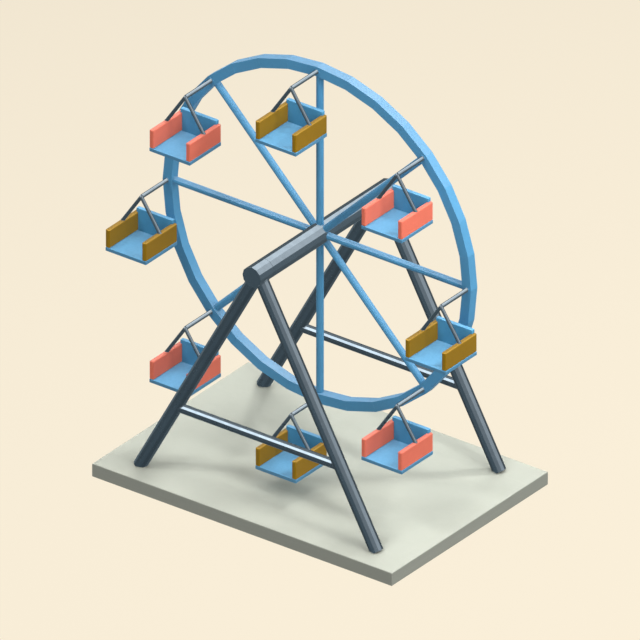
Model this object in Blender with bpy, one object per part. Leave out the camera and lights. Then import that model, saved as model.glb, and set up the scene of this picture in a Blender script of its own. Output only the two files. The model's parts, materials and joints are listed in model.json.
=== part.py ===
"""Ferris wheel with eight open gondolas, on a concrete base slab.

Metres, +Z up. The wheel turns in the XZ plane about an axle along Y, and its front faces -Y.
The origin is the centre of the slab's underside.
"""

import math

import bmesh
import bpy
from mathutils import Matrix, Vector

# Running and seating clearances
SEAT_GAP = 0.0003
SHOULDER_GAP = 0.005

# Base slab
SLAB_LENGTH = 9.0
SLAB_WIDTH = 6.25
SLAB_THICKNESS = 0.36
SLAB_CHAMFER = 0.012

# Tubes are twelve-sided, and a radius is measured to the corners
TUBE_SIDES = 12
ROUND_SIDES = 24

# A-frames
HUB_ABOVE_SLAB = 6.46
LEG_RADIUS = 0.175
LEG_FOOT_X = 3.55
LEG_PLANE_Y = 2.46
CROSSBAR_RADIUS = 0.12
CROSSBAR_ABOVE_SLAB = 1.96

# Axle and the bearing heads at its two ends
AXLE_RADIUS = 0.275
AXLE_LINE_HALF_LENGTH = 2.74
HEAD_LENGTH = 0.54
HEAD_CLOSED_END = 0.08
JOURNAL_RADIUS = 0.16

# Wheel
RIM_RADIUS = 4.5
RIM_SECTION = 0.26
RIM_STRETCHES = 32
SPOKE_COUNT = 8
SPOKE_RADIUS = 0.094

# Gondolas, measured from the pin's axis: y from the wheel's middle plane, drops downwards
GONDOLA_COUNT = 8
PIN_RADIUS = 0.055
PIN_BORE_SIDES = 16
PIN_FRONT_Y = -1.14
PIN_REAR_Y = 0.17
HANGER_Y = -1.155
STRUT_RADIUS = 0.047
STRUT_PAST_PIN = 0.015
CABIN_HALF_WIDTH = 0.61
CABIN_FRONT_Y = -1.783
CABIN_REAR_Y = -0.525
FLOOR_TOP_DROP = 1.31
FLOOR_THICKNESS = 0.096
SIDE_TOP_DROP = 0.811
SIDE_THICKNESS = 0.125
SIDE_CHAMFER = 0.019
BACK_TOP_DROP = 0.711
BACK_FRONT_Y = -0.635
BACK_THICKNESS = 0.11
BACK_HALF_WIDTH = 0.54
TUB_CHAMFER = 0.008

# Worked out from the sizes above
SLAB_TOP = SLAB_THICKNESS
HUB_Z = SLAB_TOP + HUB_ABOVE_SLAB
HEAD_INNER_Y = AXLE_LINE_HALF_LENGTH - HEAD_LENGTH
RIM_INNER_RADIUS = RIM_RADIUS - RIM_SECTION / 2
RIM_OUTER_RADIUS = RIM_RADIUS + RIM_SECTION / 2
STRUT_FOOT_X = CABIN_HALF_WIDTH - SIDE_THICKNESS / 2
FULL_TURN = 2 * math.pi
UP = Vector((0, 0, 1))


def clear_scene():
    for thing in list(bpy.data.objects):
        bpy.data.objects.remove(thing)


def make_material(name, colour, roughness, metallic):
    material = bpy.data.materials.new(name)
    material.use_nodes = True
    shader = material.node_tree.nodes["Principled BSDF"]
    shader.inputs["Base Color"].default_value = (*colour, 1.0)
    shader.inputs["Roughness"].default_value = roughness
    shader.inputs["Metallic"].default_value = metallic
    return material


def inner_radius(sides):
    """Distance from the middle to the flats, for corners at distance 1."""
    return math.cos(math.pi / sides)


def prism(radius, start, end, sides=TUBE_SIDES, side_hint=Vector((0, 1, 0))):
    """A straight bar with flat sides from start to end, with a corner towards side_hint."""
    start = Vector(start)
    end = Vector(end)
    along = (end - start).normalized()
    second = (side_hint - along * side_hint.dot(along)).normalized()
    first = second.cross(along)
    mesh = bmesh.new()
    rings = []
    for centre in (start, end):
        ring = []
        for index in range(sides):
            angle = FULL_TURN * index / sides
            offset = second * math.cos(angle) + first * math.sin(angle)
            ring.append(mesh.verts.new(centre + offset * radius))
        rings.append(ring)
    for index in range(sides):
        after = (index + 1) % sides
        mesh.faces.new((rings[0][index], rings[0][after], rings[1][after], rings[1][index]))
    mesh.faces.new(rings[0])
    mesh.faces.new(rings[1])
    bmesh.ops.recalc_face_normals(mesh, faces=mesh.faces)
    return mesh


def block(low, high):
    """A box between two corners."""
    low = Vector(low)
    high = Vector(high)
    mesh = bmesh.new()
    scale = Matrix.Diagonal((*(high - low), 1.0))
    bmesh.ops.create_cube(mesh, size=1.0, matrix=Matrix.Translation((low + high) / 2) @ scale)
    return mesh


def chamfer(mesh, width):
    bmesh.ops.bevel(mesh, geom=mesh.edges[:], offset=width, segments=1, affect="EDGES")


def cut_plane(mesh, point, normal):
    """Remove what lies on the normal's side of a plane, and close the cut."""
    geometry = mesh.verts[:] + mesh.edges[:] + mesh.faces[:]
    cut = bmesh.ops.bisect_plane(
        mesh, geom=geometry, plane_co=point, plane_no=normal, clear_outer=True
    )
    edges = [item for item in cut["geom_cut"] if isinstance(item, bmesh.types.BMEdge)]
    bmesh.ops.contextual_create(mesh, geom=edges)
    bmesh.ops.recalc_face_normals(mesh, faces=mesh.faces)


def ring_mesh(inner, outer, half_width, stretches):
    """A ring of square section about the Y axis, with a corner on the +X axis."""
    mesh = bmesh.new()
    sections = []
    for index in range(stretches):
        angle = FULL_TURN * index / stretches
        outward = Vector((math.cos(angle), 0, math.sin(angle)))
        section = []
        for radius, y in (
            (inner, -half_width), (outer, -half_width), (outer, half_width), (inner, half_width)
        ):
            section.append(mesh.verts.new(outward * radius + Vector((0, y, 0))))
        sections.append(section)
    for index, section in enumerate(sections):
        after = sections[(index + 1) % stretches]
        for corner in range(4):
            following = (corner + 1) % 4
            mesh.faces.new((section[corner], section[following], after[following], after[corner]))
    bmesh.ops.recalc_face_normals(mesh, faces=mesh.faces)
    return mesh


def add_object(name, mesh, material=None, parent=None, location=(0, 0, 0)):
    """Put a bmesh, or a mesh that others share, into the scene."""
    if isinstance(mesh, bmesh.types.BMesh):
        data = bpy.data.meshes.new(name)
        mesh.to_mesh(data)
        mesh.free()
    else:
        data = mesh
    if material and not data.materials:
        data.materials.append(material)
    thing = bpy.data.objects.new(name, data)
    bpy.context.scene.collection.objects.link(thing)
    thing.parent = parent
    thing.location = location
    return thing


def add_cutter(name, mesh, parent=None, location=(0, 0, 0)):
    cutter = add_object(name, mesh, parent=parent, location=location)
    cutter.hide_render = True
    cutter.display_type = "WIRE"
    return cutter


def combine(thing, other, operation):
    modifier = thing.modifiers.new(other.name, "BOOLEAN")
    modifier.operation = operation
    modifier.solver = "EXACT"
    modifier.object = other


def finished_mesh(thing, helpers, name):
    """The object's mesh with its modifiers applied. The object and its helpers are removed."""
    evaluated = thing.evaluated_get(bpy.context.evaluated_depsgraph_get())
    mesh = bpy.data.meshes.new_from_object(evaluated)
    mesh.name = name
    mesh.materials.clear()
    for item in (thing, *helpers):
        bpy.data.objects.remove(item)
    return mesh


def add_pivot(name, location, parent=None):
    pivot = bpy.data.objects.new(name, None)
    bpy.context.scene.collection.objects.link(pivot)
    pivot.parent = parent
    pivot.location = location
    return pivot


def add_base(materials):
    half = Vector((SLAB_LENGTH / 2, SLAB_WIDTH / 2, 0))
    mesh = block(-half, half + Vector((0, 0, SLAB_THICKNESS)))
    chamfer(mesh, SLAB_CHAMFER)
    add_object("base_slab", mesh, materials["concrete"])


def leg_bar(x_sign, y, extra_radius=0.0):
    """A leg's whole bar, square-ended, from the axle's centre to the slab's top."""
    return prism(LEG_RADIUS + extra_radius, (0, y, HUB_Z), (x_sign * LEG_FOOT_X, y, SLAB_TOP))


def head_bar(inner_y, outer_y, extra_radius=0.0):
    return prism(AXLE_RADIUS + extra_radius, (0, inner_y, HUB_Z), (0, outer_y, HUB_Z), side_hint=UP)


def add_a_frame(place, y_sign, materials):
    """Two legs, the bearing head that they carry, and the crossbar between them."""
    plane_y = y_sign * LEG_PLANE_Y
    seat = SEAT_GAP / inner_radius(TUBE_SIDES)
    head_outer_y = y_sign * AXLE_LINE_HALF_LENGTH
    head_inner_y = y_sign * HEAD_INNER_Y
    head_seat = add_cutter(f"{place}_head_seat", head_bar(head_inner_y, head_outer_y, seat))
    leg_seats = []
    for side, x_sign in (("left", -1), ("right", 1)):
        mesh = leg_bar(x_sign, plane_y)
        cut_plane(mesh, (0, 0, SLAB_TOP + SEAT_GAP), (0, 0, -1))
        cut_plane(mesh, (x_sign * SEAT_GAP / 2, 0, 0), (-x_sign, 0, 0))
        leg = add_object(f"{place}_{side}_leg", mesh, materials["gunmetal"])
        combine(leg, head_seat, "DIFFERENCE")
        leg_seats.append(add_cutter(f"{place}_{side}_leg_seat", leg_bar(x_sign, plane_y, seat)))

    bar_z = SLAB_TOP + CROSSBAR_ABOVE_SLAB
    reach = LEG_FOOT_X * (1 - CROSSBAR_ABOVE_SLAB / HUB_ABOVE_SLAB)
    mesh = prism(CROSSBAR_RADIUS, (-reach, plane_y, bar_z), (reach, plane_y, bar_z))
    crossbar = add_object(f"{place}_crossbar", mesh, materials["gunmetal"])
    for leg_seat in leg_seats:
        combine(crossbar, leg_seat, "DIFFERENCE")

    bore_radius = (JOURNAL_RADIUS + SEAT_GAP) / inner_radius(ROUND_SIDES)
    half_side = math.pi / ROUND_SIDES
    bore_corner = Vector((math.sin(half_side), 0, math.cos(half_side)))
    bore_start = head_inner_y - y_sign * HEAD_CLOSED_END
    bore_end = head_outer_y - y_sign * HEAD_CLOSED_END
    bore = add_cutter(
        f"{place}_head_bore",
        prism(bore_radius, (0, bore_start, HUB_Z), (0, bore_end, HUB_Z), ROUND_SIDES, bore_corner),
    )
    mesh = head_bar(head_inner_y, head_outer_y)
    head = add_object(f"{place}_bearing_head", mesh, materials["gunmetal"])
    combine(head, bore, "DIFFERENCE")


def add_axle(pivot, materials):
    body_end = HEAD_INNER_Y - SHOULDER_GAP
    journal_end = AXLE_LINE_HALF_LENGTH - HEAD_CLOSED_END - SHOULDER_GAP
    mesh = prism(AXLE_RADIUS, (0, -body_end, 0), (0, body_end, 0), side_hint=UP)
    body = add_object("axle_body", mesh)
    mesh = prism(JOURNAL_RADIUS, (0, -journal_end, 0), (0, journal_end, 0), ROUND_SIDES, UP)
    journals = add_object("axle_journals", mesh)
    combine(body, journals, "UNION")
    add_object("axle", finished_mesh(body, (journals,), "axle"), materials["gunmetal"], pivot)


def around_wheel(count):
    """Angle and outward direction of each of count places round the wheel, from +X upwards."""
    for index in range(count):
        angle = FULL_TURN * index / count
        yield index + 1, angle, Vector((math.cos(angle), 0, math.sin(angle)))


def add_rim(pivot, materials):
    mesh = ring_mesh(RIM_INNER_RADIUS, RIM_OUTER_RADIUS, RIM_SECTION / 2, RIM_STRETCHES)
    rim = add_object("rim", mesh, materials["wheel_blue"], pivot)
    bore_radius = (PIN_RADIUS + SEAT_GAP) / inner_radius(PIN_BORE_SIDES)
    half_side = math.pi / PIN_BORE_SIDES
    for number, angle, outward in around_wheel(GONDOLA_COUNT):
        centre = outward * RIM_RADIUS
        along = Vector((0, RIM_SECTION, 0))
        corner = Vector((math.cos(angle + half_side), 0, math.sin(angle + half_side)))
        mesh = prism(bore_radius, centre - along, centre + along, PIN_BORE_SIDES, corner)
        combine(rim, add_cutter(f"pin_bore_{number}", mesh, pivot), "DIFFERENCE")


def add_spokes(pivot, materials):
    axle_corner = AXLE_RADIUS + SEAT_GAP / inner_radius(TUBE_SIDES)
    rim_corner = RIM_INNER_RADIUS - SEAT_GAP / inner_radius(RIM_STRETCHES)
    along = Vector((0, RIM_SECTION, 0))
    axle_seat = add_cutter("spoke_axle_seat", prism(axle_corner, -along, along, side_hint=UP), pivot)
    rim_seat_mesh = ring_mesh(rim_corner, RIM_OUTER_RADIUS, RIM_SECTION, RIM_STRETCHES)
    rim_seat = add_cutter("spoke_rim_seat", rim_seat_mesh, pivot)
    for number, _, outward in around_wheel(SPOKE_COUNT):
        mesh = prism(SPOKE_RADIUS, outward * AXLE_RADIUS / 2, outward * RIM_RADIUS)
        spoke = add_object(f"spoke_{number}", mesh, materials["wheel_blue"], pivot)
        combine(spoke, axle_seat, "DIFFERENCE")
        combine(spoke, rim_seat, "DIFFERENCE")


def tub_mesh():
    """The floor with the back panel standing on its rear edge, in one piece."""
    bottom = -FLOOR_TOP_DROP - FLOOR_THICKNESS
    low = (-CABIN_HALF_WIDTH, CABIN_FRONT_Y, bottom)
    high = (CABIN_HALF_WIDTH, CABIN_REAR_Y, -FLOOR_TOP_DROP)
    floor_mesh = block(low, high)
    chamfer(floor_mesh, TUB_CHAMFER)
    low = (-BACK_HALF_WIDTH, BACK_FRONT_Y, bottom + FLOOR_THICKNESS / 4)
    high = (BACK_HALF_WIDTH, BACK_FRONT_Y + BACK_THICKNESS, -BACK_TOP_DROP)
    back_mesh = block(low, high)
    chamfer(back_mesh, TUB_CHAMFER)
    floor = add_object("tub_floor", floor_mesh)
    back = add_object("tub_back", back_mesh)
    combine(floor, back, "UNION")
    return finished_mesh(floor, (back,), "tub")


def side_mesh(x_sign):
    """A side panel that stands on the floor, with a rebate that takes the back panel's edge."""
    near = x_sign * (CABIN_HALF_WIDTH - SIDE_THICKNESS)
    far = x_sign * CABIN_HALF_WIDTH
    low = (min(near, far), CABIN_FRONT_Y, -FLOOR_TOP_DROP + SEAT_GAP)
    high = (max(near, far), CABIN_REAR_Y, -SIDE_TOP_DROP)
    mesh = block(low, high)
    chamfer(mesh, SIDE_CHAMFER)
    panel = add_object("side_panel", mesh)
    rebate_x = BACK_HALF_WIDTH + SEAT_GAP
    low = (-rebate_x, BACK_FRONT_Y - SEAT_GAP, -FLOOR_TOP_DROP - FLOOR_THICKNESS)
    rebate = add_cutter("side_rebate", block(low, (rebate_x, 0, 0)))
    combine(panel, rebate, "DIFFERENCE")
    return finished_mesh(panel, (rebate,), f"side_{x_sign}")


def hanger_mesh():
    """The pin that turns in the rim, with two struts down to the side panels."""
    mesh = prism(PIN_RADIUS, (0, PIN_REAR_Y, 0), (0, PIN_FRONT_Y, 0), side_hint=UP)
    pin = add_object("hanger_pin", mesh)
    struts = []
    for x_sign in (-1, 1):
        middle = Vector((0, HANGER_Y, 0))
        foot = Vector((x_sign * STRUT_FOOT_X, HANGER_Y, -SIDE_TOP_DROP))
        along = (foot - middle).normalized()
        mesh = prism(STRUT_RADIUS, middle - along * STRUT_PAST_PIN, foot + along * STRUT_RADIUS * 2)
        cut_plane(mesh, (0, 0, -SIDE_TOP_DROP + SEAT_GAP), (0, 0, -1))
        strut = add_object(f"hanger_strut_{x_sign}", mesh)
        combine(pin, strut, "UNION")
        struts.append(strut)
    return finished_mesh(pin, struts, "hanger")


def add_gondolas(hub, materials):
    """Eight gondolas, each with its pivot on its pin's axis. They all hang level."""
    tub = tub_mesh()
    hanger = hanger_mesh()
    sides = {}
    for side, x_sign in (("left", -1), ("right", 1)):
        shape = side_mesh(x_sign)
        for colour in ("ochre", "coral"):
            sides[side, colour] = shape.copy()
    for number, _, outward in around_wheel(GONDOLA_COUNT):
        colour = "ochre" if number % 2 else "coral"
        name = f"gondola_{number}"
        pivot = add_pivot(f"{name}_pivot", outward * RIM_RADIUS, hub)
        add_object(f"{name}_tub", tub, materials["tub_blue"], pivot)
        add_object(f"{name}_hanger", hanger, materials["hanger_steel"], pivot)
        for side in ("left", "right"):
            add_object(f"{name}_{side}_side", sides[side, colour], materials[colour], pivot)


def build():
    clear_scene()
    materials = {
        "concrete": make_material("concrete", (0.66, 0.69, 0.60), 0.85, 0.0),
        "gunmetal": make_material("gunmetal", (0.20, 0.24, 0.28), 0.35, 0.9),
        "wheel_blue": make_material("wheel_blue", (0.13, 0.36, 0.60), 0.4, 0.1),
        "tub_blue": make_material("tub_blue", (0.18, 0.44, 0.68), 0.45, 0.0),
        "hanger_steel": make_material("hanger_steel", (0.45, 0.47, 0.52), 0.3, 0.9),
        "ochre": make_material("ochre", (0.42, 0.28, 0.04), 0.4, 0.5),
        "coral": make_material("coral", (0.80, 0.22, 0.15), 0.5, 0.0),
    }
    add_base(materials)
    add_a_frame("front", -1, materials)
    add_a_frame("rear", 1, materials)
    hub = add_pivot("wheel_pivot", (0, 0, HUB_Z))
    add_axle(hub, materials)
    add_rim(hub, materials)
    add_spokes(hub, materials)
    add_gondolas(hub, materials)


build()
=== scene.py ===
"""The looks of the ferris wheel: finishes, rounded edges, welds and fasteners, set and light.

Everything is in metres in the CAD's frame: +Z up, the axle along Y, the wheel's front towards -Y.
"""
import json
import math

import bmesh
import bpy
from mathutils import Matrix, Vector, noise
from mathutils.bvhtree import BVHTree


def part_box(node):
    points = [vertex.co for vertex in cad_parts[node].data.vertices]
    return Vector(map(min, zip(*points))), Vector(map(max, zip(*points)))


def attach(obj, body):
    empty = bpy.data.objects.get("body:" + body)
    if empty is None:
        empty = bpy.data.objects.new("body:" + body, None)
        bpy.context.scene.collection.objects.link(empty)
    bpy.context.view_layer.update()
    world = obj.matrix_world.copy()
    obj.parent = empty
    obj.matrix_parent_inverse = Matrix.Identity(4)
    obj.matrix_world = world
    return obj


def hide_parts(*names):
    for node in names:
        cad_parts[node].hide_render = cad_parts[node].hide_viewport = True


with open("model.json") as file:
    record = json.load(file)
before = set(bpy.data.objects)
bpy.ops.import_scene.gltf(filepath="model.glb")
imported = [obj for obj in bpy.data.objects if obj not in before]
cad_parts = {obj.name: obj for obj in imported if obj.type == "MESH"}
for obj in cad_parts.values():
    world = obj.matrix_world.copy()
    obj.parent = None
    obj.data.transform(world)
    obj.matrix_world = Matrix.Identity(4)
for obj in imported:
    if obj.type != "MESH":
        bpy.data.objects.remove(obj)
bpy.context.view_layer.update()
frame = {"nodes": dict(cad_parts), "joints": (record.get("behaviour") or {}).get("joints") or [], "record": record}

NODES = frame["nodes"]
BODY_OF = {node: body for body, nodes in frame["record"]["behaviour"]["bodies"].items() for node in nodes}
SLOT_OF = {part["node"]: part["material_slot"] for part in frame["record"]["subparts"]}
PIVOT_OF = {joint["child"]: Vector(joint["pos_m"]) for joint in frame["joints"]}
NUMBERS = range(1, 9)
GONDOLAS = [f"gondola_{number}" for number in NUMBERS]
SPOKES = [f"spoke_{number}" for number in NUMBERS]
LEGS = [f"{place}_{side}_leg" for place in ("front", "rear") for side in ("left", "right")]
HUB = PIVOT_OF["wheel"]
SLAB_LOW, SLAB_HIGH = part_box("base_slab")
SLAB_TOP = SLAB_HIGH.z
FULL_TURN = 2 * math.pi

# Camera: an orthographic view on the slab's front right corner
PIXELS = 640
METRES_PER_PIXEL = 1.25 / 52.03
VIEW_RIGHT = Vector((0.8, 0.6, 0.0))
VIEW_UP = Vector((-0.2932, 0.391, 0.8725)).normalized()
VIEW_TARGET = Vector((0.0, 0.0, SLAB_TOP + 169.1 * METRES_PER_PIXEL))
CAMERA_DISTANCE = 40.0

# Stage: a cream floor that darkens away from the camera and to the left
BACKDROP_RADIUS = 90.0
BACKDROP_SIDES = 64
FLOOR_RADIUS = BACKDROP_RADIUS * 0.98
FLOOR_SIDES = 96
STAGE_CREAM = (0.96, 0.865, 0.695)
STAGE_LEFT_SHADE = 0.98
STAGE_FAR_SHADE = 0.94
# The view's upward direction laid flat on the floor, and the distances along it between which it darkens
STAGE_AWAY = (-0.2932, 0.391, 0.0)
STAGE_SHADE_START = -3.84
STAGE_SHADE_END = 11.55

# Studio lamps: compass angle from +X towards +Y, height angle, apparent width, strength. These lists and
# the reflected panels go back to a fit against the picture's shades, rounded and then adjusted.
LAMPS = {
    "back_lamp": (74, 54, 7, 0.165),
    "back_lamp_wide": (79, 56, 10, 0.085),
    "back_lamp_high": (87, 61, 7, 0.13),
    "left_lamp": (232, 55, 7, 0.13),
    "left_lamp_high": (242, 59, 10, 0.125),
    "far_lamp": (66, 34, 6, 0.035),
    "front_panel": (306, 25, 35, 0.075),
    "front_panel_high": (306, 55, 35, 0.055),
    "front_lamp": (270, 55, 10, 0.13),
    "top_panel": (0, 88, 35, 0.05),
    "low_back_lamp": (109, 11, 12, 0.42),
}
# Lamps near enough to light the wheel's right-hand side more, in the same terms as seen from the slab
NEAR_LAMPS = {
    "right_lamp": (349, 38, 7, 0.06),
    "right_lamp_wide": (340, 42, 12, 0.035),
    "right_lamp_high": (349, 50, 12, 0.095),
    "right_lamp_top": (351, 55, 8, 0.145),
    "right_lamp_side": (14, 40, 9, 0.08),
}
NEAR_LAMP_DISTANCE = 30.0
# Fill light without shadows, in the same terms
FILLS = {
    "right_fill": (36, 20, 60, 0.27),
    "back_fill": (126, 20, 60, 0.705),
    "top_fill": (0, 88, 60, 0.17),
    "side_fill": (330, 15, 60, 0.08),
    "low_fill": (305, -2, 60, 0.20),
}
# Bright panels that only gloss reflects: compass angle, height angle, narrowness, brightness
REFLECTED_PANELS = (
    (223, 44, 40, 2.35),
    (223, 44, 15, 6.2),
    (107, 43, 30, 3.7),
    (80, 53, 20, 3.4),
    (55, 32, 30, 1.7),
    (50, 30, 12, 1.45),
    (16, 20, 20, 1.8),
    (350, 40, 14, 2.6),
    (314, 14, 16, 0.95),
    (0, 90, 6, 1.8),
)
# The dimmer, bluish room between and below the panels, in the same terms
REFLECTED_ROOM = (
    (285, 40, 8, 0.35),
    (180, 15, 6, 0.85),
    (260, -15, 14, 0.35),
    (306, -20, 5, 0.42),
    (45, -9, 14, 0.6),
    (73, -43, 8, 0.2),
    (233, -29, 10, 0.33),
    (126, -20, 5, 0.3),
    (0, -90, 3, 0.3),
)
ROOM_TINT = (0.80, 1.0, 1.10)
DOME_STRENGTH = 0.12

# Sizes of the added detail: first the radius of each bead, then the turned pieces
WELD_SIDES = 6
WELD_RIPPLE = 0.16
LEG_WELD = 0.012
CROSSBAR_WELD = 0.010
SPOKE_WELD = 0.008
HANGER_WELD = 0.005
PANEL_SEAL = 0.003
PANEL_SEAL_PITCH = 0.5
FOOT_GROUT = 0.016
GROUT_PITCH = 0.03
GROUT_RIPPLE = 0.25
RIM_BUTT_WELD = 0.007
RIM_BUTT_PROUD = 0.003
RIM_BUTT_END = 0.02
SMALL_CHAMFER = 0.001
BUSH_INNER = 0.0565
BUSH_OUTER = 0.076
BUSH_PROUD = 0.008
BUSH_SUNK = 0.004
BUSH_CHAMFER = 0.003
BUSH_SIDES = 40
WASHER_RADIUS = 0.088
WASHER_THICKNESS = 0.007
WASHER_CHAMFER = 0.002
WASHER_GAP = 0.001
NUT_RADIUS = 0.066
NUT_START = 0.006
NUT_CHAMFER = 0.004
NUT_CROWN = 0.88
PIN_SHOWS = 0.003
JOURNAL_CLEAR = 0.168
SEAL_RADIUS = 0.264
SEAL_PROUD = 0.0035
SEAL_SUNK = 0.001
SEAL_SIDES = 48
BOLT_HEAD = 0.016
BOLT_HEAD_CROWN = 0.84
BOLT_HEAD_TOP = 0.013
BOLT_HEAD_SHOULDER = 0.011
BOLT_WASHER = 0.022
BOLT_WASHER_TOP = 0.003
BOLT_WASHER_SHOULDER = 0.002
BOLT_WASHER_SIDES = 20
HEXAGON = 6
FLOOR_BOLT_SHARES = (0.12, 0.5, 0.84)
BACK_BOLT_SHARES = (0.22, 0.78)
BACK_BOLT_INSET = 0.04

# What counts as touching when beads are laid, and as an inward corner, in metres and degrees
CONTACT_REACH = 0.001
STRUT_FOOT_REACH = 0.02
HOLLOW_LEAST_ANGLE = 12
TUB_HOLLOW_LEAST_ANGLE = 60


# Camera

def add_camera():
    """The view that the picture has of the part."""
    back = VIEW_RIGHT.cross(VIEW_UP).normalized()
    up = back.cross(VIEW_RIGHT).normalized()
    turn = Matrix((VIEW_RIGHT.normalized(), up, back)).transposed().to_4x4()
    data = bpy.data.cameras.new("photo_camera")
    data.type = "ORTHO"
    data.ortho_scale = PIXELS * METRES_PER_PIXEL
    data.clip_end = 2 * (CAMERA_DISTANCE + BACKDROP_RADIUS)
    camera = bpy.data.objects.new("photo_camera", data)
    camera.matrix_world = Matrix.Translation(VIEW_TARGET + back * CAMERA_DISTANCE) @ turn
    bpy.context.scene.collection.objects.link(camera)
    bpy.context.scene.camera = camera


# Materials

# A colour mix node's two colour inputs and its colour output, by number
MIX_COLOURS = (6, 7)
MIX_RESULT = 2
# Samples of each edge and corner probe, and the bounds between which the probes fade in
PROBE_SAMPLES = 4
EDGE_BOUNDS = (0.04, 0.35)
CREVICE_BOUNDS = (0.55, 0.95)
# Bounds between which noise turns into soft patches of dirt and painted shade and of roughness, and where scuffs
# are full
DIRT_AND_SHADE_BOUNDS = (0.3, 0.7)
ROUGHNESS_BOUNDS = (0.25, 0.75)
SCUFF_FULL = 0.62
DIRT_ROUGHNESS = 0.15


class Nodes:
    """Short ways to add nodes to one node tree."""

    def __init__(self, tree, coordinates="Object"):
        self.tree = tree
        self.place = tree.nodes.new("ShaderNodeTexCoord").outputs[coordinates]

    def link(self, source, target):
        self.tree.links.new(source, target)

    def put(self, socket, value):
        if isinstance(value, bpy.types.NodeSocket):
            self.link(value, socket)
        else:
            socket.default_value = value

    def math(self, operation, *values):
        node = self.tree.nodes.new("ShaderNodeMath")
        node.operation = operation
        for socket, value in zip(node.inputs, values):
            self.put(socket, value)
        return node.outputs[0]

    def mix(self, share, first, second):
        node = self.tree.nodes.new("ShaderNodeMix")
        node.data_type = "RGBA"
        self.put(node.inputs["Factor"], share)
        for number, value in zip(MIX_COLOURS, (first, second)):
            self.put(node.inputs[number], value if isinstance(value, bpy.types.NodeSocket) else (*value, 1.0))
        return node.outputs[MIX_RESULT]

    def dot(self, first, second):
        node = self.tree.nodes.new("ShaderNodeVectorMath")
        node.operation = "DOT_PRODUCT"
        self.put(node.inputs[0], first)
        self.put(node.inputs[1], second)
        return node.outputs["Value"]


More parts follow.
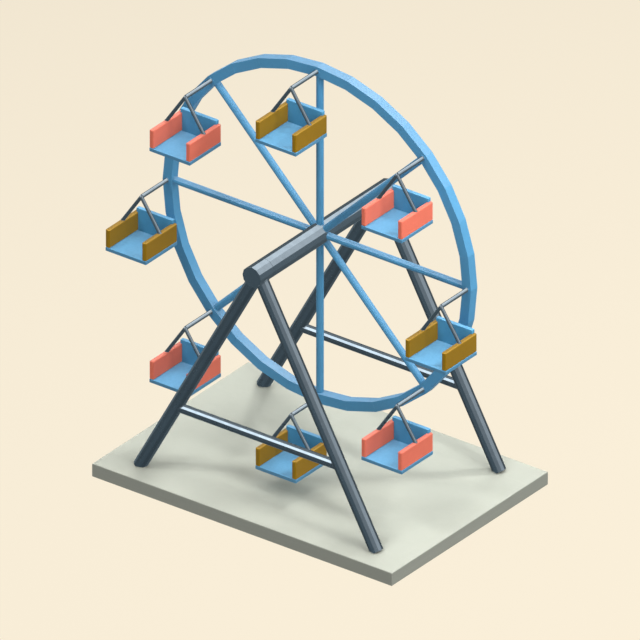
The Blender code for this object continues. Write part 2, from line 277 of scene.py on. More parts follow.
class Finish(Nodes):
    """One material's nodes, with the patterns that the finishes share."""

    def __init__(self, name):
        self.material = bpy.data.materials.new(name)
        self.material.use_nodes = True
        super().__init__(self.material.node_tree)
        self.shader = self.tree.nodes["Principled BSDF"]

    def mapping(self, scale, turn=(0, 0, 0)):
        node = self.tree.nodes.new("ShaderNodeMapping")
        self.link(self.place, node.inputs["Vector"])
        node.inputs["Scale"].default_value = scale
        node.inputs["Rotation"].default_value = turn
        return node.outputs["Vector"]

    def noise(self, scale, detail=3.0, roughness=0.55, where=None, distortion=0.0):
        node = self.tree.nodes.new("ShaderNodeTexNoise")
        self.link(where or self.place, node.inputs["Vector"])
        node.inputs["Scale"].default_value = scale
        node.inputs["Detail"].default_value = detail
        node.inputs["Roughness"].default_value = roughness
        node.inputs["Distortion"].default_value = distortion
        return node.outputs["Fac"]

    def cells(self, scale):
        node = self.tree.nodes.new("ShaderNodeTexVoronoi")
        self.link(self.place, node.inputs["Vector"])
        node.inputs["Scale"].default_value = scale
        return node.outputs["Distance"]

    def ramp(self, value, low, high, low_out=0.0, high_out=1.0):
        """An even change from one value to another between two bounds, soft at both ends."""
        node = self.tree.nodes.new("ShaderNodeMapRange")
        node.interpolation_type = "SMOOTHSTEP"
        self.link(value, node.inputs["Value"])
        node.inputs["From Min"].default_value = low
        node.inputs["From Max"].default_value = high
        node.inputs["To Min"].default_value = low_out
        node.inputs["To Max"].default_value = high_out
        return node.outputs["Result"]

    def edge_mask(self, radius):
        """1 along edges, 0 elsewhere."""
        bevel = self.tree.nodes.new("ShaderNodeBevel")
        bevel.samples = PROBE_SAMPLES
        bevel.inputs["Radius"].default_value = radius
        geometry = self.tree.nodes.new("ShaderNodeNewGeometry")
        agreement = self.dot(bevel.outputs["Normal"], geometry.outputs["Normal"])
        return self.ramp(self.math("SUBTRACT", 1.0, agreement), *EDGE_BOUNDS)

    def crevice(self, distance):
        """1 in tight corners, 0 in the open."""
        node = self.tree.nodes.new("ShaderNodeAmbientOcclusion")
        node.samples = PROBE_SAMPLES
        node.inputs["Distance"].default_value = distance
        return self.ramp(node.outputs["AO"], *CREVICE_BOUNDS, 1.0, 0.0)

    def upward_part(self, vector):
        """A vector's part along Z."""
        split = self.tree.nodes.new("ShaderNodeSeparateXYZ")
        self.link(vector, split.inputs[0])
        return split.outputs["Z"]

    def facing_up(self):
        """1 where a surface faces straight up, 0 where it is upright, -1 underneath."""
        return self.upward_part(self.tree.nodes.new("ShaderNodeNewGeometry").outputs["Normal"])

    def share_of_height(self):
        """0 at a piece's foot, 1 at its top."""
        return self.upward_part(self.tree.nodes.new("ShaderNodeTexCoord").outputs["Generated"])

    def over(self, base, mask, strength, colour):
        """The base with another colour laid over it, as far as a mask and a strength say."""
        return self.mix(self.math("MULTIPLY", mask, strength), base, colour)

    def scuffs(self, width, scale, start):
        """Wear along the edges, broken up into patches."""
        patches = self.ramp(self.noise(scale, detail=6.0, roughness=0.7), start, SCUFF_FULL)
        return self.math("MULTIPLY", self.edge_mask(width), patches)

    def dirt_and_shade(self, distance, scale, least):
        """Darkening in tight corners, from ambient occlusion: dirt and painted shade, with patches where it is
        thinner.
        """
        patches = self.ramp(self.noise(scale, detail=4.0), *DIRT_AND_SHADE_BOUNDS, least, 1.0)
        return self.math("MULTIPLY", self.crevice(distance), patches)

    def patchy_roughness(self, scale, least, most, dirt_and_shade):
        """Roughness that varies slowly, and is higher where dirt lies."""
        clean = self.ramp(self.noise(scale, detail=5.0, roughness=0.6), *ROUGHNESS_BOUNDS, least, most)
        return self.math("ADD", clean, self.math("MULTIPLY", dirt_and_shade, DIRT_ROUGHNESS))

    def uneven(self, scale, distance, strength, under=None):
        """Soft unevenness, laid over what is given as under."""
        return self.bump(self.noise(scale, detail=2.0, roughness=0.5), distance, strength, under)

    def bump(self, height, distance, strength=1.0, under=None):
        node = self.tree.nodes.new("ShaderNodeBump")
        node.inputs["Distance"].default_value = distance
        node.inputs["Strength"].default_value = strength
        self.link(height, node.inputs["Height"])
        if under is not None:
            self.link(under, node.inputs["Normal"])
        return node.outputs["Normal"]

    def finish(self, colour, roughness, metallic, normal, specular):
        self.link(colour, self.shader.inputs["Base Color"])
        self.link(roughness, self.shader.inputs["Roughness"])
        self.link(normal, self.shader.inputs["Normal"])
        self.shader.inputs["Metallic"].default_value = metallic
        self.shader.inputs["Specular IOR Level"].default_value = specular
        return self.material


# Share of a tub's height under which its floor's edge has a painted shade, which fades out between the two
LOWER_EDGE_SHADE_HEIGHT = (0.122, 0.132)


def shade(colour, factor):
    """The colour made darker or lighter, with no part over 1."""
    return tuple(min(1.0, part * factor) for part in colour)


def paint(
    name, colour, worn, roughness, metallic=0.0, specular=0.25, corner_dirt_and_shade=0.25, upward_painted_shading=None, lower_edge_painted_shade=None
):
    """Sprayed paint on steel: faint mottling, orange peel, rain streaks, chips and worn edges."""
    kit = Finish(name)
    # Broad mottling, a painted shade that makes what faces up lighter or darker as the light falls on it, and fine
    # mottling
    broad = kit.ramp(kit.noise(0.9, detail=4.0, roughness=0.6), 0.3, 0.7)
    base = kit.mix(broad, shade(colour, 0.97), shade(colour, 1.045))
    if upward_painted_shading:
        base = kit.mix(kit.ramp(kit.facing_up(), 0.4, 0.95), base, upward_painted_shading)
    fine = kit.ramp(kit.noise(14.0, detail=5.0, roughness=0.65), 0.35, 0.68)
    base = kit.over(base, fine, 0.35, shade(colour, 0.94))
    # Rain streaks, drawn out in height, and painted shade on a floor's lower edge
    streaks = kit.noise(6.0, detail=3.0, roughness=0.5, where=kit.mapping((4.0, 4.0, 0.4)))
    base = kit.mix(kit.ramp(streaks, 0.58, 0.8, high_out=0.2), base, shade(colour, 0.84))
    if lower_edge_painted_shade:
        base = kit.mix(kit.ramp(kit.share_of_height(), *LOWER_EDGE_SHADE_HEIGHT, 1.0, 0.0), base, lower_edge_painted_shade)
    # Chips in places, and scuffed edges
    specks = kit.ramp(kit.cells(42.0), 0.0, 0.075, 1.0, 0.0)
    chips = kit.math("MULTIPLY", specks, kit.ramp(kit.noise(3.0, detail=3.0), 0.56, 0.66))
    base = kit.over(base, chips, 0.35, worn)
    base = kit.over(base, kit.scuffs(width=0.006, scale=24.0, start=0.48), 0.55, worn)
    # Dirt and painted shade in the corners
    dirt_and_shade = kit.dirt_and_shade(distance=0.05, scale=11.0, least=0.4)
    base = kit.over(base, dirt_and_shade, corner_dirt_and_shade, shade(colour, 0.35))
    gloss = kit.patchy_roughness(5.5, roughness - 0.05, roughness + 0.05, dirt_and_shade)
    # Orange peel on slow waves, with the chips sunk into it
    peel = kit.uneven(180.0, distance=0.0004, strength=0.2)
    waves = kit.uneven(1.8, distance=0.004, strength=0.25, under=peel)
    pits = kit.bump(chips, distance=-0.0006, strength=0.6, under=waves)
    return kit.finish(base, gloss, metallic, pits, specular)


def concrete(name, colour):
    """Trowelled cast concrete: clouding, fine sand, pinholes, and painted shade on the sides, with formwork marks.
    """
    kit = Finish(name)
    # Clouding, mottling and sand
    clouds = kit.ramp(kit.noise(0.42, detail=5.0, roughness=0.62, distortion=0.6), 0.28, 0.72)
    mottle = kit.ramp(kit.noise(2.6, detail=6.0, roughness=0.68, distortion=0.3), 0.3, 0.72)
    sand = kit.noise(95.0, detail=4.0, roughness=0.7)
    base = kit.mix(clouds, shade(colour, 0.985), shade(colour, 1.03))
    base = kit.over(base, mottle, 0.5, shade(colour, 0.965))
    base = kit.mix(kit.ramp(sand, 0.35, 0.75, high_out=0.2), base, shade(colour, 0.78))
    # The trowel's strokes, and pinholes in places
    strokes = kit.mapping((1.0, 5.5, 1.0), turn=(0, 0, 0.5))
    trowel = kit.noise(1.1, detail=3.0, roughness=0.5, where=strokes, distortion=1.4)
    base = kit.mix(kit.ramp(trowel, 0.55, 0.75, high_out=0.25), base, shade(colour, 1.08))
    pinholes = kit.ramp(kit.cells(26.0), 0.03, 0.085, 1.0, 0.0)
    holes = kit.math("MULTIPLY", pinholes, kit.ramp(kit.noise(4.0, detail=2.0), 0.5, 0.62))
    base = kit.over(base, holes, 0.55, shade(colour, 0.45))
    # Painted shade that makes the sides darker than the top, with stains along the formwork's boards
    upright = kit.math("SUBTRACT", 1.0, kit.math("ABSOLUTE", kit.facing_up()))
    base = kit.over(base, upright, 0.7, shade(colour, 0.55))
    boards = kit.noise(3.0, detail=4.0, roughness=0.6, where=kit.mapping((0.35, 0.35, 9.0)))
    stains = kit.math("MULTIPLY", upright, kit.ramp(boards, 0.42, 0.7, high_out=0.2))
    base = kit.mix(stains, base, shade(colour, 0.8))
    # Dirt and painted shade in the corners, and paler arrises
    base = kit.over(base, kit.dirt_and_shade(distance=0.16, scale=5.0, least=0.3), 0.25, shade(colour, 0.6))
    base = kit.over(base, kit.edge_mask(0.02), 0.35, shade(colour, 1.06))
    gloss = kit.ramp(kit.noise(2.2, detail=4.0), 0.3, 0.7, 0.78, 0.92)
    # Sand grain, the trowel's strokes and the pinholes in relief
    grain = kit.bump(sand, distance=0.0016, strength=0.5)
    swirl = kit.bump(trowel, distance=0.003, strength=0.3, under=grain)
    pores = kit.bump(holes, distance=-0.003, strength=0.8, under=swirl)
    return kit.finish(base, gloss, metallic=0.0, normal=pores, specular=0.04)


def metal(name, colour, roughness, corner_dirt_and_shade=0.25):
    """Dark metallic finish with a faint drawn grain, handling marks, and dust and painted shade in its corners."""
    kit = Finish(name)
    # Broad and fine mottling, and streaks drawn out in height
    broad = kit.ramp(kit.noise(0.8, detail=4.0, roughness=0.6), 0.3, 0.7)
    base = kit.mix(broad, shade(colour, 0.96), shade(colour, 1.07))
    fine = kit.noise(30.0, detail=6.0, roughness=0.7)
    base = kit.mix(kit.ramp(fine, 0.45, 0.7, high_out=0.3), base, shade(colour, 0.88))
    streaks = kit.noise(5.0, detail=4.0, roughness=0.7, where=kit.mapping((8.0, 8.0, 0.6)))
    base = kit.mix(kit.ramp(streaks, 0.6, 0.8, high_out=0.3), base, shade(colour, 0.8))
    # Scuffed edges, and dirt and painted shade in the corners
    base = kit.over(base, kit.scuffs(width=0.005, scale=20.0, start=0.45), 0.5, shade(colour, 1.6))
    dirt_and_shade = kit.dirt_and_shade(distance=0.05, scale=9.0, least=0.4)
    base = kit.over(base, dirt_and_shade, corner_dirt_and_shade, shade(colour, 0.45))
    gloss = kit.patchy_roughness(4.5, roughness - 0.04, roughness + 0.05, dirt_and_shade)
    # Orange peel on slow waves
    peel = kit.uneven(160.0, distance=0.0005, strength=0.3)
    waves = kit.uneven(2.2, distance=0.003, strength=0.2, under=peel)
    return kit.finish(base, gloss, metallic=1.0, normal=waves, specular=0.5)


# Each paint's colour for what faces up is a painted shade: its tops lighter or darker as the light falls
MATERIALS = {
    "concrete": concrete("cast_concrete", (0.445, 0.461, 0.397)),
    "gunmetal": metal("gunmetal_paint", (0.112, 0.137, 0.157), 0.29),
    "wheel_blue": paint(
        "wheel_blue_paint", (0.080, 0.290, 0.500), worn=(0.22, 0.42, 0.60), roughness=0.38,
        specular=0.4, upward_painted_shading=(0.120, 0.262, 0.415),
    ),
    # The tub's colour for its floor's lower edge is a painted shade
    "tub_blue": paint(
        "tub_blue_paint", (0.070, 0.300, 0.520), worn=(0.20, 0.42, 0.60), roughness=0.42,
        specular=0.4, upward_painted_shading=(0.128, 0.378, 0.620), lower_edge_painted_shade=(0.078, 0.230, 0.378),
    ),
    # The ochre's worn colour is partly a painted highlight on its edges, lighter than the wear alone
    "ochre_panel": paint(
        "ochre_paint", (0.325, 0.173, 0.003), worn=(0.70, 0.48, 0.16), roughness=0.34,
        metallic=0.28, specular=0.25, upward_painted_shading=(0.265, 0.150, 0.014),
    ),
    "coral_panel": paint(
        "coral_paint", (0.755, 0.172, 0.107), worn=(0.86, 0.36, 0.27), roughness=0.45,
        upward_painted_shading=(0.660, 0.180, 0.128),
    ),
    "hanger_steel": metal("hanger_steel_paint", (0.126, 0.151, 0.170), 0.27),
}


# Shapes

SAME_POINT = 1e-5
SAME_PLANE = math.radians(0.5)


def solid_from(node):
    """The CAD node's mesh as a bmesh of whole flat faces."""
    mesh = bmesh.new()
    mesh.from_mesh(NODES[node].data)
    bmesh.ops.remove_doubles(mesh, verts=mesh.verts, dist=SAME_POINT)
    bmesh.ops.dissolve_limit(
        mesh, angle_limit=SAME_PLANE, verts=mesh.verts, edges=mesh.edges, use_dissolve_boundaries=False
    )
    return mesh


def add_piece(name, mesh, body, slot, smooth=False):
    """One added piece, made from a bmesh, which rides on a body."""
    bmesh.ops.recalc_face_normals(mesh, faces=mesh.faces)
    for face in mesh.faces:
        face.smooth = smooth
    data = bpy.data.meshes.new(name)
    mesh.to_mesh(data)
    mesh.free()
    data.materials.append(MATERIALS[slot])
    piece = bpy.data.objects.new(name, data)
    bpy.context.scene.collection.objects.link(piece)
    # A simplification: gloss shows the studio alone, and the pieces don't mirror one another
    piece.visible_glossy = False
    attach(piece, body)
    return piece


def dress(node, width, least_angle):
    """A copy of the node with its outward edges rounded and its faces shaded flat, in the node's place."""
    mesh = solid_from(node)
    weight = mesh.edges.layers.float.new("bevel_weight_edge")
    for edge in mesh.edges:
        turned = len(edge.link_faces) == 2 and edge.calc_face_angle() > math.radians(least_angle)
        edge[weight] = 1.0 if turned and edge.is_convex else 0.0
        edge.smooth = edge.is_convex or not turned
    piece = add_piece(f"{node}_finished", mesh, BODY_OF[node], SLOT_OF[node], smooth=True)
    bevel = piece.modifiers.new("rounded_edges", "BEVEL")
    bevel.limit_method = "WEIGHT"
    bevel.width = width
    bevel.segments = EDGE_SEGMENTS
    flat = piece.modifiers.new("flat_faces", "WEIGHTED_NORMAL")
    flat.keep_sharp = True
    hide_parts(node)


# Edge rounding: which edges count, in degrees between their faces, and how wide each kind of node's are
EDGE_SEGMENTS = 2
EDGE_LEAST_ANGLE = 8
SPOKE_LEAST_ANGLE = 20
EDGE_WIDTHS = {
    "rim": 0.005, "axle": 0.003, "tub": 0.004, "side": 0.004, "hanger": 0.0015,
    "spoke": 0.003, "leg": 0.004, "crossbar": 0.003, "head": 0.003,
}


def dress_all():
    """Rounded edges on every CAD node but the slab, which has a finished piece of its own."""
    for node in NODES:
        for kind, width in EDGE_WIDTHS.items():
            if kind in node:
                dress(node, width, SPOKE_LEAST_ANGLE if kind == "spoke" else EDGE_LEAST_ANGLE)
                break


# The slab: its outline in small steps, so that its arrises can be slightly uneven, as cast edges are
SLAB_STEP = 0.05
SLAB_CHAMFER = 0.012
ARRIS_WEAR = 0.006
CHIP_SCALE = 3.1
CRUMB_SCALE = 11.0
CRUMB_SHARE = 0.5
# Distance inwards from the outline, height, and share of the wear, from the underside to the top
SLAB_PROFILE = (
    (SLAB_CHAMFER, 0.0, 0.0),
    (0.0, SLAB_CHAMFER, 0.4),
    (0.0, 0.12, 0.0),
    (0.0, 0.26, 0.0),
    (0.0, SLAB_TOP - SLAB_CHAMFER - 0.012, 0.1),
    (0.001, SLAB_TOP - SLAB_CHAMFER, 1.0),
    (0.006, SLAB_TOP - 0.005, 1.0),
    (SLAB_CHAMFER + 0.001, SLAB_TOP, 1.0),
    (SLAB_CHAMFER + 0.014, SLAB_TOP, 0.0),
)


def slab_outline():
    """Points round the slab's plan with the direction that leads inwards from each."""
    corners = [
        Vector((SLAB_LOW.x, SLAB_LOW.y, 0)), Vector((SLAB_HIGH.x, SLAB_LOW.y, 0)),
        Vector((SLAB_HIGH.x, SLAB_HIGH.y, 0)), Vector((SLAB_LOW.x, SLAB_HIGH.y, 0)),
    ]
    points = []
    for index, corner in enumerate(corners):
        after = corners[(index + 1) % len(corners)]
        before = corners[index - 1]
        along = (after - corner).normalized()
        inwards = Vector((-along.y, along.x, 0))
        back = (before - corner).normalized()
        points.append((corner, along + back))
        steps = round((after - corner).length / SLAB_STEP)
        for step in range(1, steps):
            points.append((corner.lerp(after, step / steps), inwards))
    return points


def add_slab():
    """The slab with slightly uneven arrises, in place of the CAD's."""
    mesh = bmesh.new()
    rings = []
    for inset, height, wear in SLAB_PROFILE:
        ring = []
        for point, inwards in slab_outline():
            place = Vector((point.x, point.y, height))
            loss = noise.noise(place * CHIP_SCALE) + CRUMB_SHARE * noise.noise(place * CRUMB_SCALE)
            loss = max(0.0, loss) * ARRIS_WEAR * wear
            ring.append(mesh.verts.new(place + inwards * (inset + loss)))
        rings.append(ring)
    for lower, upper in zip(rings, rings[1:]):
        join_rings(mesh, lower, upper)
    mesh.faces.new(rings[-1])
    mesh.faces.new(reversed(rings[0]))
    piece = add_piece("base_slab_finished", mesh, BODY_OF["base_slab"], SLOT_OF["base_slab"])
    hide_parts("base_slab")


# Welds and seals

def chains(edges):
    """The edges as runs of points, taken in the edges' order, each with a note of whether it closes."""
    left = dict.fromkeys(edges)
    runs = []
    while left:
        edge = next(iter(left))
        del left[edge]
        run = [edge.verts[0], edge.verts[1]]
        grown = True
        while grown:
            grown = False
            for following in run[-1].link_edges:
                if following in left:
                    del left[following]
                    run.append(following.other_vert(run[-1]))
                    grown = True
                    break
        closed = run[0] is run[-1]
        if closed:
            run.pop()
        runs.append(([vertex.co.copy() for vertex in run], closed))
    return runs


def contact_runs(node, carrier, reach=CONTACT_REACH):
    """Runs of points round the faces of the node that lie on the carrier."""
    mesh = solid_from(node)
    carrier_mesh = solid_from(carrier)
    surface = BVHTree.FromBMesh(carrier_mesh)
    touching = set()
    for face in mesh.faces:
        places = [vertex.co for vertex in face.verts] + [face.calc_center_median()]
        # What find_nearest gives last is the distance
        if all(surface.find_nearest(place)[-1] < reach for place in places):
            touching.add(face)
    edges = [edge for edge in mesh.edges if sum(face in touching for face in edge.link_faces) == 1]
    runs = chains(edges)
    carrier_mesh.free()
    mesh.free()
    return runs


def hollow_runs(node, least_angle=HOLLOW_LEAST_ANGLE):
    """Runs of points along the node's inward corners, where its own members meet."""
    mesh = solid_from(node)
    least = math.radians(least_angle)
    edges = []
    for edge in mesh.edges:
        if len(edge.link_faces) == 2 and not edge.is_convex and edge.calc_face_angle() > least:
            edges.append(edge)
    runs = chains(edges)
    mesh.free()
    return runs


def stepped(points, closed, pitch):
    """The run's points, placed again at even steps."""
    path = points + points[:1] if closed else points
    places = []
    for start, end in zip(path, path[1:]):
        steps = max(1, round((end - start).length / pitch))
        places.extend(start.lerp(end, step / steps) for step in range(steps))
    if not closed:
        places.append(path[-1])
    return places


def add_bead(mesh, points, closed, radius, pitch=None, ripple=WELD_RIPPLE):
    """A rounded bead along a run of points. Its rings swell and shrink by turns, as weld ripples do."""
    places = stepped(points, closed, pitch or radius)
    count = len(places)
    if count < 2:
        return
    rings = []
    side = None
    for index, place in enumerate(places):
        before = places[index - 1] if index or closed else place
        after = places[(index + 1) % count] if index + 1 < count or closed else place
        along = (after - before).normalized()
        if side is None:
            side = along.orthogonal()
        side = (side - along * side.dot(along)).normalized()
        other = along.cross(side)
        swell = radius * (1.0 + ripple * (index % 2))
        ring = []
        for corner in range(WELD_SIDES):
            angle = FULL_TURN * corner / WELD_SIDES
            offset = side * math.cos(angle) + other * math.sin(angle)
            ring.append(mesh.verts.new(place + offset * swell))
        rings.append(ring)
    for first, second in zip(rings, rings[1:]):
        join_rings(mesh, first, second)
    if closed:
        shifts = range(WELD_SIDES)
        shift = min(shifts, key=lambda turn: (rings[0][turn].co - rings[-1][0].co).length)
        join_rings(mesh, rings[-1], rings[0], shift)
    else:
        mesh.faces.new(reversed(rings[0]))
        mesh.faces.new(rings[-1])


def join_rings(mesh, first, second, shift=0):
    """A band of faces between two rings of points. The shift turns the second ring by so many points."""
    count = len(first)
    for corner in range(count):
        after = (corner + 1) % count
        mesh.faces.new(
            (first[corner], first[after], second[(after + shift) % count], second[(corner + shift) % count])
        )


def weld(node, carriers, radius):
    """One piece with the weld beads between a member and what carries it."""
    mesh = bmesh.new()
    for carrier in carriers:
        for points, closed in contact_runs(node, carrier):
            add_bead(mesh, points, closed, radius)
    add_piece(f"{node}_welds", mesh, BODY_OF[node], SLOT_OF[node], smooth=True)


def add_frame_welds():
    """Welds between the legs, the bearing heads and the crossbars."""
    for place in ("front", "rear"):
        left, right = f"{place}_left_leg", f"{place}_right_leg"
        head = f"{place}_bearing_head"
        weld(left, (head, right), LEG_WELD)
        weld(right, (head,), LEG_WELD)
        weld(f"{place}_crossbar", (left, right), CROSSBAR_WELD)


def add_foot_grout():
    """A low mortar fillet round each leg's foot."""
    for leg in LEGS:
        mesh = bmesh.new()
        for points, closed in contact_runs(leg, "base_slab"):
            add_bead(mesh, points, closed, FOOT_GROUT, GROUT_PITCH, GROUT_RIPPLE)
        add_piece(f"{leg}_grout", mesh, BODY_OF[leg], "concrete", smooth=True)


def add_wheel_welds():
    """Welds at both ends of every spoke."""
    for spoke in SPOKES:
        weld(spoke, ("axle", "rim"), SPOKE_WELD)


RIM_LOW, RIM_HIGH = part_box("rim")
RIM_STRETCHES = 32
RIM_OUTER = RIM_HIGH.x - HUB.x
RIM_DEPTH = RIM_HIGH.y - RIM_LOW.y
RIM_INNER = RIM_OUTER - RIM_DEPTH


def add_rim_seams():
    """Butt welds between the rim's straight stretches, except at the spokes and pins."""
    mesh = bmesh.new()
    sunk = RIM_BUTT_WELD - RIM_BUTT_PROUD
    stretches_per_spoke = RIM_STRETCHES // len(SPOKES)
    outer, inner = RIM_OUTER - RIM_BUTT_END, RIM_INNER + sunk
    front, rear = RIM_LOW.y + sunk, RIM_HIGH.y - sunk
    for index in range(RIM_STRETCHES):
        if index % stretches_per_spoke == 0:
            continue
        angle = FULL_TURN * index / RIM_STRETCHES
        outward = Vector((math.cos(angle), 0, math.sin(angle)))
        run = []
        for radius, y in ((outer, front), (inner, front), (inner, rear), (outer, rear)):
            run.append(HUB + outward * radius + Vector((0, y, 0)))
        add_bead(mesh, run, False, RIM_BUTT_WELD)
    add_piece("rim_butt_welds", mesh, "wheel", "wheel_blue", smooth=True)


def add_gondola_welds():
    """Welds between each hanger's pin and struts, and at the struts' feet."""
    for gondola in GONDOLAS:
        hanger = f"{gondola}_hanger"
        mesh = bmesh.new()
        for points, closed in hollow_runs(hanger):
            add_bead(mesh, points, closed, HANGER_WELD)
        for side in ("left", "right"):
            for points, closed in contact_runs(hanger, f"{gondola}_{side}_side", STRUT_FOOT_REACH):
                add_bead(mesh, points, closed, HANGER_WELD)
        add_piece(f"{hanger}_welds", mesh, gondola, "hanger_steel", smooth=True)


def add_gondola_seals():
    """A thin paint-sealed seam where the side panels stand on the floor and meet the back."""
    for gondola in GONDOLAS:
        mesh = bmesh.new()
        for side in ("left", "right"):
            for points, closed in contact_runs(f"{gondola}_{side}_side", f"{gondola}_tub"):
                add_bead(mesh, points, closed, PANEL_SEAL, PANEL_SEAL_PITCH, ripple=0.0)
        for points, closed in hollow_runs(f"{gondola}_tub", TUB_HOLLOW_LEAST_ANGLE):
            add_bead(mesh, points, closed, PANEL_SEAL, PANEL_SEAL_PITCH, ripple=0.0)
        add_piece(f"{gondola}_seals", mesh, gondola, "tub_blue", smooth=True)


# Turned and hexagonal fasteners, and seals

def add_turned(mesh, centre, axis, profile, sides, hollow=False):
    """A turned shape: the profile's (radius, distance along the axis) points swept round the axis."""
    first = axis.orthogonal().normalized()
    second = axis.cross(first)
    rings = []
    for radius, along in profile:
        ring = []
        for index in range(sides):
            angle = FULL_TURN * index / sides
            offset = first * math.cos(angle) + second * math.sin(angle)
            ring.append(mesh.verts.new(centre + offset * radius + axis * along))
        rings.append(ring)
    for lower, upper in zip(rings, rings[1:]):
        join_rings(mesh, lower, upper)
    if hollow:
        join_rings(mesh, rings[-1], rings[0])
    else:
        mesh.faces.new(reversed(rings[0]))
        mesh.faces.new(rings[-1])


def add_bolt(mesh, place, axis):
    """A hexagon head on a round washer, standing on a surface."""
    washer = [
        (BOLT_WASHER, -BOLT_WASHER_SHOULDER), (BOLT_WASHER, BOLT_WASHER_SHOULDER),
        (BOLT_WASHER - SMALL_CHAMFER, BOLT_WASHER_TOP),
    ]
    head = [
        (BOLT_HEAD, BOLT_WASHER_SHOULDER), (BOLT_HEAD, BOLT_HEAD_SHOULDER),
        (BOLT_HEAD * BOLT_HEAD_CROWN, BOLT_HEAD_TOP),
    ]
    add_turned(mesh, place, axis, washer, BOLT_WASHER_SIDES)
    add_turned(mesh, place, axis, head, HEXAGON)


def add_shaft_seals():
    """A flat ring on each bearing head's inner end, which nearly fills the gap before the axle's shoulder."""
    for place, inwards in (("front", 1), ("rear", -1)):
        low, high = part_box(f"{place}_bearing_head")
        inner_end = high.y if inwards > 0 else low.y
        profile = [
            (JOURNAL_CLEAR, -SEAL_SUNK), (JOURNAL_CLEAR, SEAL_PROUD),
            (SEAL_RADIUS - SMALL_CHAMFER, SEAL_PROUD), (SEAL_RADIUS, SEAL_PROUD - SMALL_CHAMFER),
            (SEAL_RADIUS, -SEAL_SUNK),
        ]
        mesh = bmesh.new()
        centre = Vector((HUB.x, inner_end, HUB.z))
        add_turned(mesh, centre, Vector((0, inwards, 0)), profile, SEAL_SIDES, hollow=True)
        add_piece(f"{place}_shaft_seal", mesh, "frame", "gunmetal")


def add_rim_bushes():
    """A thin flanged bush in the rim's front face and rear face round each pin."""
    mesh = bmesh.new()
    profile = [
        (BUSH_INNER, -BUSH_SUNK), (BUSH_INNER, BUSH_PROUD - SMALL_CHAMFER),
        (BUSH_INNER + SMALL_CHAMFER, BUSH_PROUD), (BUSH_OUTER - BUSH_CHAMFER, BUSH_PROUD),
        (BUSH_OUTER, BUSH_PROUD - BUSH_CHAMFER), (BUSH_OUTER, -BUSH_SUNK),
    ]
    for gondola in GONDOLAS:
        pivot = PIVOT_OF[gondola]
        for y, outwards in ((RIM_LOW.y, -1), (RIM_HIGH.y, 1)):
            centre = Vector((pivot.x, y, pivot.z))
            add_turned(mesh, centre, Vector((0, outwards, 0)), profile, BUSH_SIDES, hollow=True)
    add_piece("rim_bushes", mesh, "wheel", "wheel_blue")


def add_pin_nuts():
    """A washer and a nut on each pin's rear end, behind the rim."""
    for gondola in GONDOLAS:
        pivot = PIVOT_OF[gondola]
        pin_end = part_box(f"{gondola}_hanger")[1].y
        start = RIM_HIGH.y + BUSH_PROUD + WASHER_GAP
        reach = pin_end - start - PIN_SHOWS
        washer = [
            (WASHER_RADIUS, 0.0), (WASHER_RADIUS, WASHER_THICKNESS - WASHER_CHAMFER),
            (WASHER_RADIUS - WASHER_CHAMFER, WASHER_THICKNESS),
        ]
        nut = [(NUT_RADIUS, NUT_START), (NUT_RADIUS, reach - NUT_CHAMFER), (NUT_RADIUS * NUT_CROWN, reach)]
        centre = Vector((pivot.x, start, pivot.z))
        axis = Vector((0, 1, 0))
        mesh = bmesh.new()
        add_turned(mesh, centre, axis, washer, BUSH_SIDES)
        add_turned(mesh, centre, axis, nut, HEXAGON)
        add_piece(f"{gondola}_pin_nut", mesh, gondola, "hanger_steel")


def add_cabin_bolts():
    """Bolts under the floor and behind the back, out of the riders' way."""
    for gondola in GONDOLAS:
        mesh = bmesh.new()
        tub_low, tub_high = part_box(f"{gondola}_tub")
        for side in ("left", "right"):
            low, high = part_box(f"{gondola}_{side}_side")
            middle = (low.x + high.x) / 2
            for share in FLOOR_BOLT_SHARES:
                y = low.y + (high.y - low.y) * share
                add_bolt(mesh, Vector((middle, y, tub_low.z)), Vector((0, 0, -1)))
            inside = high.x - BACK_BOLT_INSET if side == "left" else low.x + BACK_BOLT_INSET
            for share in BACK_BOLT_SHARES:
                z = low.z + (high.z - low.z) * share
                add_bolt(mesh, Vector((inside, tub_high.y, z)), Vector((0, 1, 0)))
        add_piece(f"{gondola}_cabin_bolts", mesh, gondola, "hanger_steel")


# Stage and light

def stage_material():
    """Cream that only shows: it gives no light, and its shade changes slowly over the floor."""
    material = bpy.data.materials.new("stage_cream")
    material.use_nodes = True
    tree = material.node_tree
    tree.nodes.clear()
    glow = tree.nodes.new("ShaderNodeEmission")
    output = tree.nodes.new("ShaderNodeOutputMaterial")
    tree.links.new(glow.outputs[0], output.inputs["Surface"])
    kit = Nodes(tree)

    def share(towards, low, high):
        """0 to 1 between two distances along a direction over the floor."""
        spread = tree.nodes.new("ShaderNodeMapRange")
        spread.inputs["From Min"].default_value = low
        spread.inputs["From Max"].default_value = high
        kit.link(kit.dot(kit.place, towards), spread.inputs["Value"])
        return spread.outputs["Result"]

    half_width = PIXELS * METRES_PER_PIXEL / 2
    across = share(VIEW_RIGHT, -half_width, half_width)
    away = share(STAGE_AWAY, STAGE_SHADE_START, STAGE_SHADE_END)
    far_cream = shade(STAGE_CREAM, STAGE_FAR_SHADE)
    near = kit.mix(across, shade(STAGE_CREAM, STAGE_LEFT_SHADE), STAGE_CREAM)
    far = kit.mix(across, shade(far_cream, STAGE_LEFT_SHADE), far_cream)
    kit.link(kit.mix(kit.math("MULTIPLY", away, away), near, far), glow.inputs["Color"])
    return material


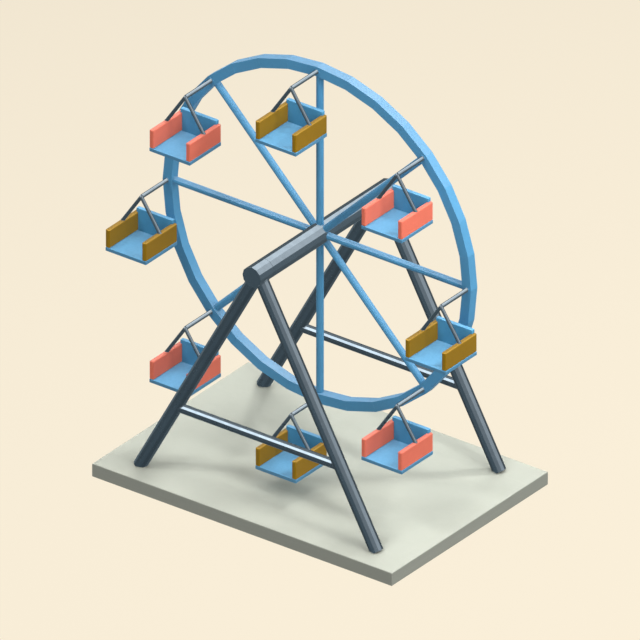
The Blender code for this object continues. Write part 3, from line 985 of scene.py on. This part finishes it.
def add_stage():
    """A pale round floor and a backdrop. Both only show, and cast and take no light."""
    material = stage_material()
    floor_mesh = bmesh.new()
    bmesh.ops.create_circle(floor_mesh, cap_ends=True, segments=FLOOR_SIDES, radius=FLOOR_RADIUS)
    dome_mesh = bmesh.new()
    bmesh.ops.create_uvsphere(
        dome_mesh, u_segments=BACKDROP_SIDES, v_segments=BACKDROP_SIDES // 2, radius=BACKDROP_RADIUS
    )
    for name, mesh in (("stage_floor", floor_mesh), ("stage_backdrop", dome_mesh)):
        data = bpy.data.meshes.new(name)
        mesh.to_mesh(data)
        mesh.free()
        data.materials.append(material)
        piece = bpy.data.objects.new(name, data)
        bpy.context.scene.collection.objects.link(piece)
        piece.visible_diffuse = False
        piece.visible_glossy = False
        piece.visible_shadow = False


def direction(compass, height):
    """The direction towards a place in the sky, from its compass angle and its height angle."""
    compass, height = math.radians(compass), math.radians(height)
    level = math.cos(height)
    return Vector((level * math.cos(compass), level * math.sin(compass), math.sin(height)))


def add_lamp(data, place, facing):
    """One lamp in the scene. Gloss reflects the panels of the world instead of the lamps."""
    lamp = bpy.data.objects.new(data.name, data)
    lamp.location = place
    lamp.rotation_mode = "QUATERNION"
    lamp.rotation_quaternion = facing.to_track_quat("Z", "Y")
    lamp.visible_glossy = False
    bpy.context.scene.collection.objects.link(lamp)


def add_far_lamps(lamps, shadows):
    """Lamps so far off that their light is the same all over the part."""
    for name, (compass, height, width, strength) in lamps.items():
        data = bpy.data.lights.new(name, "SUN")
        data.energy = math.pi * strength
        data.angle = math.radians(width)
        data.use_shadow = shadows
        add_lamp(data, Vector((0, 0, 0)), direction(compass, height))


def add_near_lamps(lamps, distance):
    """Round lamps, as strong at the middle of the slab as a far lamp of the same strength."""
    middle = Vector((0, 0, SLAB_TOP))
    for name, (compass, height, width, strength) in lamps.items():
        data = bpy.data.lights.new(name, "POINT")
        data.energy = 4 * math.pi ** 2 * distance ** 2 * strength
        data.shadow_soft_size = distance * math.tan(math.radians(width / 2))
        add_lamp(data, middle + distance * direction(compass, height), direction(compass, height))


def add_world():
    """A faint dome of light for every surface, and the panels and the room that gloss reflects."""
    world = bpy.data.worlds.new("studio_dome")
    world.use_nodes = True
    world.cycles.sampling_method = "NONE"
    tree = world.node_tree
    kit = Nodes(tree, "Generated")
    path = tree.nodes.new("ShaderNodeLightPath")

    def reflected(panels):
        """The sum of the panels' soft-edged spots, as seen in a direction."""
        total = 0.0
        for compass, height, narrowness, brightness in panels:
            away = kit.math("SUBTRACT", kit.dot(kit.place, direction(compass, height)), 1.0)
            fall = kit.math("EXPONENT", kit.math("MULTIPLY", away, narrowness))
            total = kit.math("MULTIPLY_ADD", fall, brightness, total)
        return total

    panels, room = reflected(REFLECTED_PANELS), reflected(REFLECTED_ROOM)
    before_any_diffuse_bounce = kit.math("LESS_THAN", path.outputs["Diffuse Depth"], 0.5)
    glossy = kit.math("MULTIPLY", path.outputs["Is Glossy Ray"], before_any_diffuse_bounce)
    diffuse = kit.math("MULTIPLY", path.outputs["Is Diffuse Ray"], DOME_STRENGTH)
    colour = tree.nodes.new("ShaderNodeCombineColor")
    for socket, tint in zip(colour.inputs, ROOM_TINT):
        seen = kit.math("MULTIPLY_ADD", room, tint, panels)
        kit.link(kit.math("MULTIPLY_ADD", seen, glossy, diffuse), socket)
    kit.link(colour.outputs["Color"], tree.nodes["Background"].inputs["Color"])
    bpy.context.scene.world = world


scene = bpy.context.scene
scene.view_settings.view_transform = "Standard"
scene.view_settings.look = "None"
add_camera()
dress_all()
add_slab()
add_frame_welds()
add_foot_grout()
add_wheel_welds()
add_rim_seams()
add_gondola_welds()
add_gondola_seals()
add_shaft_seals()
add_rim_bushes()
add_pin_nuts()
add_cabin_bolts()
add_stage()
add_far_lamps(LAMPS, shadows=True)
add_near_lamps(NEAR_LAMPS, NEAR_LAMP_DISTANCE)
add_far_lamps(FILLS, shadows=False)
add_world()
